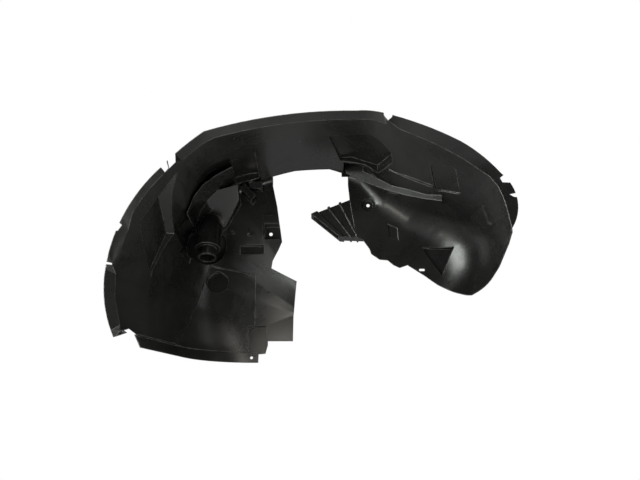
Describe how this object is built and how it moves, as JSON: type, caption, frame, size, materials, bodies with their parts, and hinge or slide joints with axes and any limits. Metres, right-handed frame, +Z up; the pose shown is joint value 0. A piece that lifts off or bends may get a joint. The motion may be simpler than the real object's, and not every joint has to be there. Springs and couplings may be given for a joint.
{
  "type": "wheel arch liner",
  "caption": "One-piece moulded front wheel arch liner that keeps spray off the inner wing, with a strut opening, a lip to the wing edge, a drain spout and a duct stub.",
  "frame": {"origin": "centre of the datum hole, on the wheel side of the dimple in the rear wall", "axes": "+X to the rear of the car, +Y inboard away from the wheel, +Z up"},
  "size_m": [0.878, 0.3585, 0.5147],
  "materials": {
    "black_plastic": "satin moulded black polypropylene"
  },
  "bodies": {
    "root": {"wheel_arch_liner": "black_plastic"}
  },
  "joints": []
}
